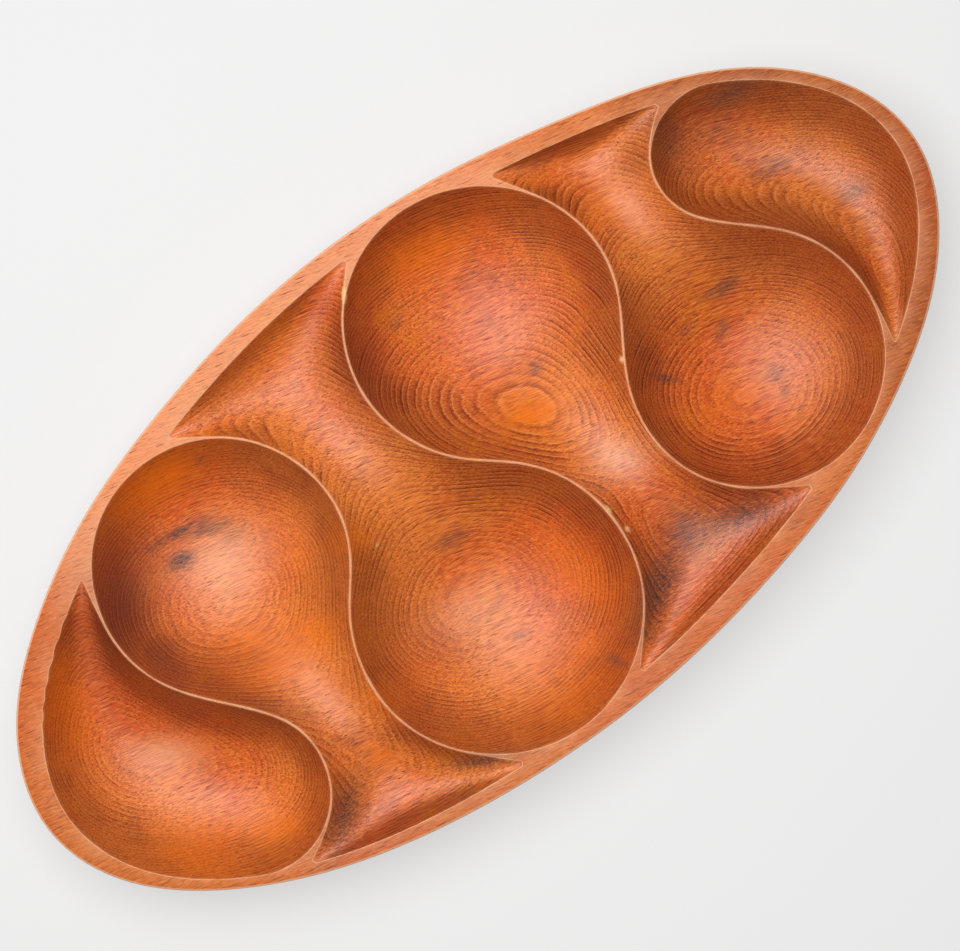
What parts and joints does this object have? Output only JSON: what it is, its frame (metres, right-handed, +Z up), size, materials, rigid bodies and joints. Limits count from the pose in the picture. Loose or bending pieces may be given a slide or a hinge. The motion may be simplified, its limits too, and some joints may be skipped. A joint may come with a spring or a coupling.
{
  "type": "snack bowl",
  "caption": "Long oval carved wooden snack bowl whose pear-shaped hollows are parted by thin S-shaped crests, standing on small cork feet.",
  "frame": {"origin": "middle of the plane that the cork feet stand on", "axes": "+X along the board towards the end with the smaller end hollow, +Y across the board towards the flatter long side, +Z up out of the hollows"},
  "size_m": [0.48, 0.2379, 0.04],
  "materials": {
    "oiled_teak": "satin",
    "cork": "matte"
  },
  "bodies": {
    "root": {"carved_board": "oiled_teak", "cork_foot_front_left": "cork", "cork_foot_front_right": "cork", "cork_foot_back_left": "cork", "cork_foot_back_right": "cork"}
  },
  "joints": []
}
